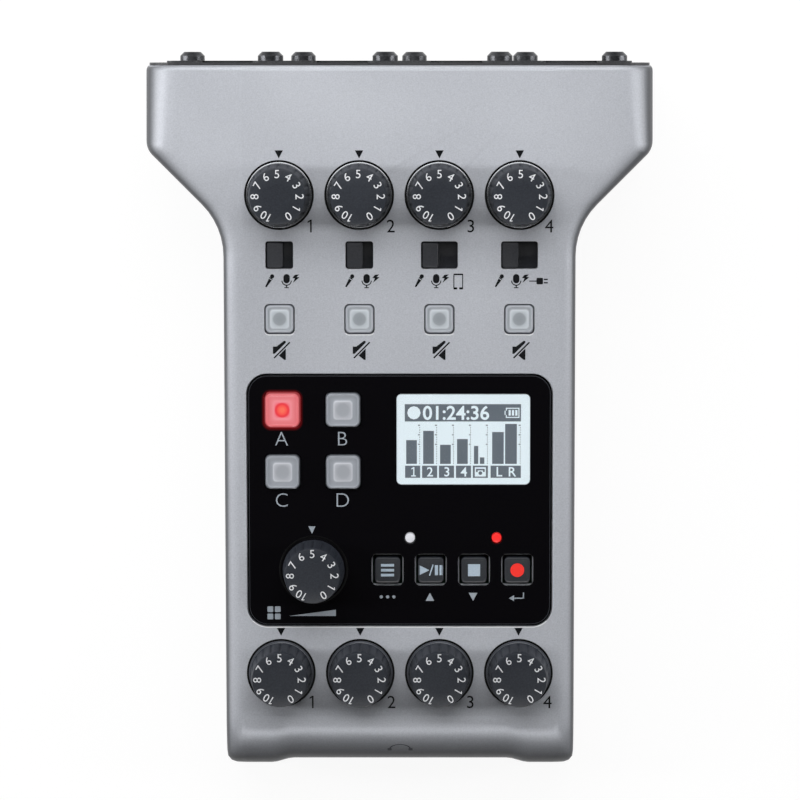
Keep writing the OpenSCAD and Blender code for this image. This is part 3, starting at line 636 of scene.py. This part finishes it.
def square_cap(rings, foot):
    bm = bmesh.new()
    tone = bm.verts.layers.float.new("tone")
    half, corner, level, shade = rings[0]
    rings = [(half, corner, foot, shade)] + rings
    lathe(bm, [(0, foot)] + [(half, level) for half, corner, level, shade in rings] + [(0, rings[-1][2])],
          round_steps)
    for v in bm.verts:
        r = math.hypot(v.co.x, v.co.y)
        half, corner, level, shade = min(rings, key=lambda ring: math.hypot(ring[0] - r, ring[2] - v.co.z))
        v[tone] = shade
        if r > 0.01:
            stretch = square_reach(math.atan2(v.co.y, v.co.x), half, corner) / half
            v.co.x *= stretch
            v.co.y *= stretch
    return bm


def milky(name, tones, glow=0.0):
    material = bpy.data.materials.new(name)
    material.use_nodes = True
    tree = material.node_tree
    shader = tree.nodes["Principled BSDF"]
    shader.inputs["Roughness"].default_value = 0.36
    tone = tree.nodes.new("ShaderNodeAttribute")
    tone.attribute_name = "tone"
    ramp = tree.nodes.new("ShaderNodeValToRGB")
    for number, (at, colour) in enumerate(tones):
        stop = ramp.color_ramp.elements[number] if number < 2 else ramp.color_ramp.elements.new(at)
        stop.position = at
        stop.color = srgb(*colour)
    tree.links.new(tone.outputs["Fac"], ramp.inputs["Fac"])
    tree.links.new(ramp.outputs["Color"], shader.inputs["Emission Color" if glow else "Base Color"])
    shader.inputs["Emission Strength"].default_value = glow
    if glow:
        shader.inputs["Base Color"].default_value = srgb(60, 20, 22)
    return material


# Tones run from the skirt (0) to the lens (1). The square and the lens are the caps' own look; the lighter
# rim and the bright ring at the square's edge are painted highlights.
mute_tones = [(0.0, (104, 108, 116)), (1.0, (154, 160, 166)), (0.1, (178, 182, 190)), (0.2, (180, 185, 192)),
              (0.3, (160, 165, 172)), (0.4, (170, 175, 182)), (0.5, (212, 218, 224)), (0.6, (206, 213, 219)),
              (0.7, (190, 197, 203)), (0.8, (162, 168, 174))]
pad_tones = [(0.0, (84, 88, 94)), (1.0, (174, 178, 185)), (0.1, (150, 155, 163)), (0.2, (172, 177, 185)),
             (0.3, (154, 159, 167)), (0.4, (170, 175, 183)), (0.5, (216, 219, 226)), (0.6, (200, 203, 210)),
             (0.7, (184, 187, 194)), (0.8, (176, 180, 187))]
red_tones = [(0.0, (150, 56, 60)), (1.0, (255, 114, 88)), (0.1, (224, 108, 114)), (0.2, (232, 118, 124)),
             (0.3, (224, 112, 118)), (0.4, (236, 134, 140)), (0.5, (242, 142, 150)), (0.6, (244, 140, 150)),
             (0.66, (244, 118, 128)), (0.7, (236, 64, 76)), (0.8, (238, 56, 64)), (0.9, (252, 82, 76))]
milk_grey = milky("milk_grey", mute_tones)
milk_dim = milky("milk_dim", pad_tones)
milk_red = milky("milk_red", red_tones, 0.92)
cap_skirt = 0.14
skirt_level = -0.35
mute_corner = 1.0
mute_drop = 0.35


def cap_rings(half, corner, top):
    skirt = [(half + cap_skirt, corner + cap_skirt, skirt_level, 0.0), (half, corner, top - 0.34, 0.0)]
    rim = [(half - 0.10, corner, top - 0.10, 0.06), (half - 0.26, corner - 0.1, top, 0.1),
           (half - 0.46, corner - 0.2, top, 0.2), (half - 0.62, corner - 0.25, top - 0.10, 0.3)]
    square = [(2.24, 0.75, top - 0.12, 0.4), (1.98, 0.65, top - 0.04, 0.5), (1.82, 0.9, top - 0.02, 0.6)]
    lens = [(1.55, 1.55, top - 0.02, 0.7), (1.30, 1.30, top - 0.04, 0.8), (1.0, 1.0, top - 0.05, 0.9),
            (0.4, 0.4, top - 0.05, 1.0)]
    return skirt + rim + square + lens


caps = [("mute_button_%d" % i, milk_grey, mute_corner, mute_drop, "milky_plastic") for i in (1, 2, 3, 4)]
caps += [("sound_pad_" + letter, milk_dim, pad_corner, 0.0, "milky_plastic") for letter in "bcd"]
caps += [("sound_pad_a", milk_red, pad_corner, 0.0, "lit_plastic")]
for name, finish, corner, drop, slot in caps:
    foot = deck_box(name)[0].z
    low, high = deck_box(name, cap_crown)
    spot = on_deck @ Matrix.Translation(((low.x + high.x) / 2, (low.y + high.y) / 2, 0))
    rings = cap_rings((high.x - low.x) / 2, corner, high.z - drop)
    piece(name + "_cap", square_cap(rings, foot), name, finish, [name], spot)

# Transport buttons
# Black moulded keys with a shallow dish, over push switches on the main board. Each has a printed sign:
# bars for the menu, play with pause, stop, and a red dot for recording. The red dot has a faint painted glow.
sign_sunk = 0.06
sign_thickness = 0.05
key_black = moulded("key_black", (30, 33, 40), (42, 46, 52), 0.38, 0.50, fine=2600, depth=0.02)
sign_blue = moulded("sign_blue", (176, 196, 214), (196, 212, 226), 0.45, 0.55)
# Painted light: the printed red dot is given a faint glow of its own.
sign_red = plain("sign_red", (232, 40, 30), 0.45, Emission_Color=srgb(235, 40, 30), Emission_Strength=0.35)


def flat(bm, points, at=(0, 0), turn=0.0):
    spin = Matrix.Rotation(turn, 2)
    bm.faces.new([bm.verts.new((*(Vector(at) + spin @ Vector(point)), 0)) for point in points])


def bar(bm, left, low, right, high):
    flat(bm, [(left, low), (right, low), (right, high), (left, high)])


def stroke(bm, start, end, width):
    along = Vector(end) - Vector(start)
    side = Vector((-along.y, along.x)).normalized() * width / 2
    flat(bm, [Vector(start) - side, Vector(end) - side, Vector(end) + side, Vector(start) + side])


def disc(bm, at, radius, sides=32):
    bmesh.ops.create_circle(bm, cap_ends=True, segments=sides, radius=radius,
                            matrix=Matrix.Translation((at[0], at[1], 0)))


def arc(bm, at, radius, width, start, sweep, steps=16):
    ends = [bm.verts.new((at[0] + r * math.cos(start), at[1] + r * math.sin(start), 0))
            for r in (radius - width / 2, radius + width / 2)]
    edge = bm.edges.new(ends)
    full = abs(sweep) > math.tau - 0.01
    bmesh.ops.spin(bm, geom=ends + [edge], cent=(at[0], at[1], 0), axis=(0, 0, 1), angle=sweep, steps=steps,
                   use_merge=full)


def menu_sign(bm):
    for row in (-1, 0, 1):
        bar(bm, -1.45, row * 1.1 - 0.3, 1.45, row * 1.1 + 0.3)


def play_sign(bm):
    flat(bm, [(-2.62, -1.15), (-0.32, 0), (-2.62, 1.15)])
    stroke(bm, (-0.28, -1.25), (0.5, 1.25), 0.26)
    bar(bm, 0.9, -1.12, 1.6, 1.12)
    bar(bm, 1.94, -1.12, 2.64, 1.12)


def stop_sign(bm):
    bar(bm, -1.35, -1.35, 1.35, 1.35)


def record_sign(bm):
    disc(bm, (0, 0), 1.53)


def key_cap(half, top, foot):
    rings = [(half, 0.9, top - 0.32, 0), (half - 0.1, 0.85, top - 0.1, 0), (half - 0.3, 0.75, top, 0),
             (half - 0.55, 0.7, top - 0.02, 0), (half - 1.2, 0.9, top - 0.06, 0), (0.5, 0.5, top - 0.07, 0)]
    return square_cap(rings, foot)


for name, sign, finish in (("menu_button", menu_sign, sign_blue), ("play_button", play_sign, sign_blue),
                           ("stop_button", stop_sign, sign_blue), ("record_button", record_sign, sign_red)):
    foot = deck_box(name)[0].z
    low, high = deck_box(name, cap_crown)
    spot = on_deck @ Matrix.Translation(((low.x + high.x) / 2, (low.y + high.y) / 2, 0))
    cap = key_cap((high.x - low.x) / 2, high.z, foot)
    piece(name + "_cap", cap, name, key_black, [name], spot)
    bm = bmesh.new()
    sign(bm)
    ink(bm, high.z - sign_sunk, sign_thickness)
    piece(name + "_sign", bm, name, finish, place=spot)

# Display
# A small monochrome screen under the panel, behind a clear pane: a pale lit sheet with grey
# level bars, a header with the running time, and numbered boxes for the four inputs.
screen_w = 29.4
screen_l = 20.0
screen_corner = 1.0
pane_bottom = -0.85
sheet_top = -0.95
screen_light = plain("screen_light", (90, 94, 98), 0.5, Emission_Color=srgb(228, 242, 248),
                     Emission_Strength=0.92)
screen_dark = plain("screen_dark", (40, 44, 48), 0.5, Emission_Color=srgb(98, 107, 116),
                    Emission_Strength=0.9)
clear_pane = plain("clear_pane", (255, 255, 255), 0.03, Transmission_Weight=1.0, IOR=1.46)
low, high = deck_box("display_window")
screen_at = on_deck @ Matrix.Translation(((low.x + high.x) / 2, (low.y + high.y) / 2, 0))


def rounded_plate(bm, width, length, radius, low, high):
    ends = ((-1, -1), (1, -1), (1, 1), (-1, 1))
    corners = [bm.verts.new((sx * width / 2, sy * length / 2, low)) for sx, sy in ends]
    bm.faces.new(corners)
    bmesh.ops.bevel(bm, geom=corners, offset=radius, affect="VERTICES", segments=6, profile=0.5, material=-1)
    raised = bmesh.ops.extrude_face_region(bm, geom=bm.faces[:], use_keep_orig=True)
    bmesh.ops.translate(bm, verts=[g for g in raised["geom"] if isinstance(g, bmesh.types.BMVert)],
                        vec=(0, 0, high - low))
    bmesh.ops.recalc_face_normals(bm, faces=bm.faces)
    return bm


sheet = rounded_plate(bmesh.new(), screen_w, screen_l, screen_corner, low.z, sheet_top)
piece("screen_sheet", sheet, "case", screen_light, ["display_window"], screen_at)
pane = rounded_plate(bmesh.new(), screen_w, screen_l, screen_corner, pane_bottom, high.z)
piece("window_pane", pane, "case", clear_pane, ["display_window"], screen_at)

header_low = 3.95
header_high = 7.8
header_middle = 5.88
time_h = 3.2
box_text_h = 2.1
box_text_bold = 0.012
ink_h = 0.02
ink_gap = 0.001
screen_left = -12.95
screen_right = 12.75
bar_foot = -5.5
box_low = -8.62
box_high = -5.9
box_middle = (box_low + box_high) / 2
lanes = [-11.22, -7.46, -3.72, 0.04, 3.78]
lane_w = 3.34
bar_half = 1.19
bar_shift = -0.24
levels = [5.3, 7.36, 4.26, 5.54]
narrow_bars = [(2.35, 3.3, 4.0), (3.68, 4.65, 1.45), (6.38, 8.95, 7.1), (9.25, 11.85, 8.9)]
stereo_left = 6.05
scale_x = [lane + 1.64 for lane in lanes] + [12.68]
scale_pitch = 0.53
scale_dots = 17
dot_w = 0.16
dot_h = 0.24
tick_w = 0.44
dark = bmesh.new()
bar(dark, screen_left, header_low, screen_right, header_high)
for lane, level in zip(lanes, levels):
    middle = lane + bar_shift
    bar(dark, middle - bar_half, bar_foot, middle + bar_half, bar_foot + level)
for lane in lanes:
    bar(dark, lane - lane_w / 2, box_low, lane + lane_w / 2, box_high)
for right in scale_x:
    for dot in range(scale_dots):
        foot = bar_foot + dot * scale_pitch
        wide = tick_w if dot in (8, 12, 16) else dot_w
        bar(dark, right - wide, foot, right, foot + dot_h)
for left, right, level in narrow_bars:
    bar(dark, left, bar_foot, right, bar_foot + level)
bar(dark, stereo_left, box_low, screen_right, box_high)
piece("screen_bars", ink(dark, sheet_top, ink_h), "case", screen_dark, place=screen_at)
pale = bmesh.new()
disc(pale, (-10.93, header_middle), 1.47, 12)
lettering(pale, "01:24:36", time_h, (-1.62, header_middle), bold=0.018)
for number, lane in enumerate(lanes[:4], start=1):
    if number == 1:
        figure_one(pale, box_text_h, (lane + 0.08, box_middle))
        bar(pale, lane - 0.35, box_middle - 1.05, lane + 0.75, box_middle - 0.8)
    else:
        lettering(pale, str(number), box_text_h, (lane + 0.08, box_middle), bold=box_text_bold)
bar(pale, 2.55, box_low + 0.3, 5.0, box_high - 0.35)
lettering(pale, "L", box_text_h, (8.0, box_middle), bold=box_text_bold)
lettering(pale, "R", box_text_h, (10.9, box_middle), bold=box_text_bold)
for cell in range(3):
    bar(pale, 10.0 + cell * 0.74, 5.25, 10.48 + cell * 0.74, 6.5)
for edge in ((9.4, 4.75, 12.4, 4.97), (9.4, 6.78, 12.4, 7.0), (12.18, 4.97, 12.4, 6.78),
             (9.4, 4.97, 9.62, 5.4), (9.4, 6.35, 9.62, 6.78), (9.12, 5.4, 9.34, 6.35)):
    bar(pale, *edge)
figures_level = sheet_top + ink_h + ink_gap
piece("screen_figures", ink(pale, figures_level, ink_h), "case", screen_light, place=screen_at)
dark = bmesh.new()
bar(dark, 2.8, -6.95, 4.75, -6.6)
bar(dark, 2.8, -7.3, 3.2, -6.95)
bar(dark, 4.35, -7.3, 4.75, -6.95)
disc(dark, (3.78, -7.55), 0.42, 12)
handset_level = figures_level + ink_h + ink_gap
piece("screen_handset", ink(dark, handset_level, 0.01), "case", screen_dark, place=screen_at)

# Indicator lights
# Two round light guides that end flush with the gloss panel, one white and one red. They are pins
# of clear plastic, pressed in from behind.
light_r = 1.08
light_foot = -2.0
lights_u = -30.8
white_x = 2.3
red_x = 21.5
for x, colour, name in ((white_x, (196, 197, 202), "white_light"), (red_x, (236, 42, 40), "red_light")):
    bm = bmesh.new()
    lathe(bm, [(0, -0.12), (0.7, -0.14), (0.95, -0.2), (light_r, -0.34), (light_r, light_foot),
               (0, light_foot)], 40)
    glow = plain(name, colour, 0.35, Emission_Color=srgb(*colour), Emission_Strength=0.5)
    piece(name + "_guide", bm, "case", glow, ["indicator_lights"],
          on_deck @ Matrix.Translation((x, lights_u, 0)))

# Edge lines
# A painted highlight: a bright line along the front edge of the recess and of each mute opening. A
# painted reflection: a fine grey line just inside the gloss plate's edge, for the shine of its polished
# chamfer.
panel_reach = (panel_high - panel_low) / 2
panel_at = (panel_low + panel_high) / 2
panel_corner = 4.4
panel_highlight_out = 0.3
panel_highlight_w = 0.22
panel_line = -0.4
panel_line_w = 0.13
mute_gap = 0.25
mute_highlight_out = 0.14
mute_highlight_w = 0.2
mute_slot_corner = 1.1
line_h = 0.015
highlight_white = plain("highlight_white", (240, 241, 243), 0.4)
chamfer_reflection_grey = plain("chamfer_reflection_grey", (58, 60, 66), 0.3)


def edge_line(bm, at, reach, corner, width, whole):
    core_x = reach[0] - corner
    core_u = reach[1] - corner
    half = width / 2
    ends = ((-1, -1, 180), (1, -1, 270), (1, 1, 0), (-1, 1, 90))
    for sx, su, start in ends:
        middle = (at[0] + sx * core_x, at[1] + su * core_u)
        if whole:
            arc(bm, middle, corner, width, math.radians(start), math.radians(90), 10)
            bar(bm, at[0] + sx * reach[0] - half, middle[1] - (su > 0) * core_u, at[0] + sx * reach[0] + half,
                middle[1] + (su < 0) * core_u)
        elif su < 0:
            arc(bm, middle, corner, width, math.radians(start + (45 if sx < 0 else 0)), math.radians(45), 6)
    for su in (-1, 1) if whole else (-1,):
        level = at[1] + su * reach[1]
        bar(bm, at[0] - core_x, level - half, at[0] + core_x, level + half)


# Painted highlight: bright lines laid on the deck along the front edges only, where light from behind catches
# them.
bm = bmesh.new()
highlight_reach = (panel_reach.x + panel_highlight_out, panel_reach.y + panel_highlight_out)
edge_line(bm, panel_at, highlight_reach, panel_corner + panel_highlight_out, panel_highlight_w, False)
for i in (1, 2, 3, 4):
    low, high = deck_box("mute_button_%d" % i, cap_crown)
    reach = (high.x - low.x) / 2 + mute_gap + mute_highlight_out
    edge_line(bm, (low + high) / 2, (reach, reach), mute_slot_corner + mute_highlight_out, mute_highlight_w, False)
piece("painted_edge_highlights", ink(bm, 0.0, ink_h), "case", highlight_white, place=on_deck)
# Painted reflection: a grey line on the gloss plate for the shine of its polished chamfer.
bm = bmesh.new()
line_reach = (panel_reach.x + panel_line, panel_reach.y + panel_line)
edge_line(bm, panel_at, line_reach, panel_corner + panel_line, panel_line_w, True)
piece("panel_chamfer_reflection", ink(bm, panel_high.z, line_h), "case", chamfer_reflection_grey, place=on_deck)

# Marks on the deck
# Signs screen printed in one black ink: a pointer over each knob, input numbers, microphone and phone
# signs under the switches and a crossed speaker under each mute button.
number_h = 2.8
mark_black = plain("mark_black", (9, 11, 15), 0.6, Specular_IOR_Level=0.15)


def pointer(bm, at, width, height):
    flat(bm, [(-width / 2, height / 2), (0, -height / 2), (width / 2, height / 2)], at)


def rounded_bar(bm, left, low, right, high, radius):
    corners = [bm.verts.new((x, u, 0)) for x, u in ((left, low), (right, low), (right, high), (left, high))]
    bm.faces.new(corners)
    bmesh.ops.bevel(bm, geom=corners, offset=radius, affect="VERTICES", segments=5, profile=0.5, material=-1)


def stage_mic(bm, at):
    lean = math.radians(-31)
    flat(bm, [(-0.17, -1.5), (0.17, -1.5), (0.36, 0.42), (-0.36, 0.42)], at, lean)
    flat(bm, [(-0.38, 0.56), (0.38, 0.56), (0.42, 0.78), (-0.42, 0.78)], at, lean)
    disc(bm, Vector(at) + Matrix.Rotation(lean, 2) @ Vector((0, 1.22)), 0.46, 20)


def desk_mic(bm, at):
    x, u = at
    rounded_bar(bm, x - 0.7, u - 0.5, x + 0.7, u + 1.55, 0.69)
    arc(bm, (x, u + 0.1), 1.02, 0.22, math.pi, math.pi)
    bar(bm, x - 0.12, u - 1.35, x + 0.12, u - 0.9)
    bar(bm, x - 0.5, u - 1.56, x + 0.5, u - 1.35)


def spark(bm, at):
    outline = [(0.78, 0.92), (-0.2, 0.82), (-0.75, 0.12), (-0.18, 0.08), (-0.6, -0.92), (0.85, 0.3),
               (0.2, 0.36)]
    flat(bm, outline, at)


def phone(bm, at):
    x, u = at
    half_w, half_h, line = 1.06, 1.74, 0.2
    bar(bm, x - half_w, u - half_h + 0.3, x - half_w + line, u + half_h - 0.2)
    bar(bm, x + half_w - line, u - half_h + 0.3, x + half_w, u + half_h - 0.2)
    rounded_bar(bm, x - half_w, u + half_h - 0.34, x + half_w, u + half_h, 0.16)
    rounded_bar(bm, x - half_w, u - half_h, x - 0.2, u - half_h + 0.46, 0.16)
    rounded_bar(bm, x + 0.2, u - half_h, x + half_w, u - half_h + 0.46, 0.16)


def plug(bm, at):
    x, u = at
    stroke(bm, (x - 2.3, u), (x - 0.7, u), 0.22)
    rounded_bar(bm, x - 0.7, u - 0.72, x + 0.75, u + 0.72, 0.25)
    bar(bm, x + 0.9, u - 0.52, x + 1.8, u - 0.22)
    bar(bm, x + 0.9, u + 0.22, x + 1.8, u + 0.52)


def muted_speaker(bm, at):
    x, u = at
    outline = [(-1.85, 0.8), (-1.05, 0.8), (0.65, 2.1), (1.0, 2.0), (1.0, -2.15), (0.65, -2.15),
               (-1.05, -0.8), (-1.85, -0.8)]
    slash_gap = 0.45
    slant = math.radians(45)
    across = Vector((-math.sin(slant), math.cos(slant), 0))
    for side in (1, -1):
        half = bmesh.new()
        flat(half, outline)
        whole = half.verts[:] + half.edges[:] + half.faces[:]
        bmesh.ops.bisect_plane(half, geom=whole, plane_co=across * slash_gap * side, plane_no=across * side,
                               clear_inner=True)
        bmesh.ops.translate(half, verts=half.verts, vec=(x, u, 0))
        spare = bpy.data.meshes.new("half")
        half.to_mesh(spare)
        half.free()
        bm.from_mesh(spare)
        bpy.data.meshes.remove(spare)
    stroke(bm, (x - 1.6, u - 1.75), (x + 1.9, u + 1.75), 0.32)


def input_number(bm, number, at):
    if number == 1:
        figure_one(bm, number_h, at)
    else:
        lettering(bm, str(number), number_h, at)


bm = bmesh.new()
pointer_w = 1.85
pointer_h = 1.75
pointers_u = (54.1, -51.85)
numbers_u = (38.4, -67.7)
number_x = (6.75, 6.93, 6.9, 6.5)
switch_marks_u = 26.3
mute_marks_u = 11.05
wide_slot_shift = -2.3
for i, x in enumerate(columns):
    for pointer_u in pointers_u:
        pointer(bm, (x, pointer_u), pointer_w, pointer_h)
    for number_u in numbers_u:
        input_number(bm, i + 1, (x + number_x[i], number_u))
    shift = wide_slot_shift if i > 1 else 0.0
    stage_mic(bm, (x - 2.2 + shift, switch_marks_u))
    desk_mic(bm, (x + 1.6 + shift, switch_marks_u))
    spark(bm, (x + 3.6 + shift, switch_marks_u + 0.55))
    muted_speaker(bm, (x + 0.35, mute_marks_u))
phone(bm, (columns[2] + 4.15, switch_marks_u - 0.1))
plug(bm, (columns[3] + 4.45, switch_marks_u))
piece("deck_marks", ink(bm, 0.0, ink_h), "case", mark_black, place=on_deck)

# Mark on the front edge
# A headphone sign printed in grey on the rolled front edge over the jacks. It is laid on the curve of
# the shell, which falls steeply there, so the sign is squeezed in plan.
front_mark_y = -77.2
front_mark_squeeze = 0.5
band_r = 2.3
band_w = 0.3
band_start = 12
cup_x = 2.35
cup_half = 0.45
shell_surface = bmesh.new()
shell_surface.from_mesh(shell.data)
shell_tree = BVHTree.FromBMesh(shell_surface)
shell_surface.free()
bm = bmesh.new()
arc(bm, (0, 0), band_r, band_w, math.radians(band_start), math.radians(180 - 2 * band_start), 20)
for side in (-1, 1):
    bar(bm, side * cup_x - cup_half, -0.7, side * cup_x + cup_half, 0.45)
bmesh.ops.subdivide_edges(bm, edges=bm.edges, cuts=2, use_grid_fill=True)
ink(bm, 0.0, ink_h)
cast_from = 0.2
for v in bm.verts:
    above = Vector((v.co.x * mm, (front_mark_y + v.co.y * front_mark_squeeze) * mm, cast_from))
    hit, normal = shell_tree.ray_cast(above, Vector((0, 0, -1)))[:2]
    v.co = hit + normal * (v.co.z - ink_h / 4) * mm
mark_soft = plain("mark_soft", (82, 84, 90), 0.5, Specular_IOR_Level=0.2)
piece("front_mark", bm, "case", mark_soft)

# Marks on the panel
# Signs printed in pale grey on the gloss: letters for the pads, arrows under two keys, three dots under
# the menu key, a return arrow under the record key, and four squares with a rising wedge for the level.
letter_h = 3.0
letter_spots = {"A": (-26.1, -8.6), "B": (-12.6, -8.6), "C": (-26.1, -22.3), "D": (-12.6, -22.3)}
up_x = 6.7
down_x = 16.3
dots_x = -2.7
dot_pitch = 1.4
dot_r = 0.36
return_w = 0.26
squares_at = (-27.95, -47.6)
square_pitch = 0.82
square_half = 0.64
mark_pale = moulded("mark_pale", (152, 162, 172), (170, 179, 188), 0.50, 0.60)
key_marks_u = -44.0
pad_pointer_u = -29.0
bm = bmesh.new()
for letter, spot in letter_spots.items():
    lettering(bm, letter, letter_h, spot, bold=-0.014)
pointer(bm, (pad_knob_x - 0.35, pad_pointer_u), 1.55, 1.65)
flat(bm, [(-0.95, -0.9), (0.95, -0.9), (0, 0.9)], (up_x, key_marks_u))
pointer(bm, (down_x, key_marks_u), 1.9, 1.8)
for dot in (-1, 0, 1):
    disc(bm, (dots_x + dot * dot_pitch, key_marks_u), dot_r, 20)
stroke(bm, (27.5, key_marks_u + 0.95), (27.5, key_marks_u - 0.42), return_w)
stroke(bm, (27.63, key_marks_u - 0.3), (25.4, key_marks_u - 0.3), return_w)
flat(bm, [(24.3, key_marks_u - 0.3), (25.4, key_marks_u - 0.95), (25.4, key_marks_u + 0.35)])
for sx in (-1, 1):
    for su in (-1, 1):
        x = squares_at[0] + sx * square_pitch
        u = squares_at[1] + su * square_pitch
        rounded_bar(bm, x - square_half, u - square_half, x + square_half, u + square_half, 0.2)
flat(bm, [(-24.6, -48.3), (-14.2, -48.3), (-14.2, -46.9)])
piece("panel_marks", ink(bm, panel_high.z, ink_h), "case", mark_pale, place=on_deck)

bpy.context.view_layer.update()
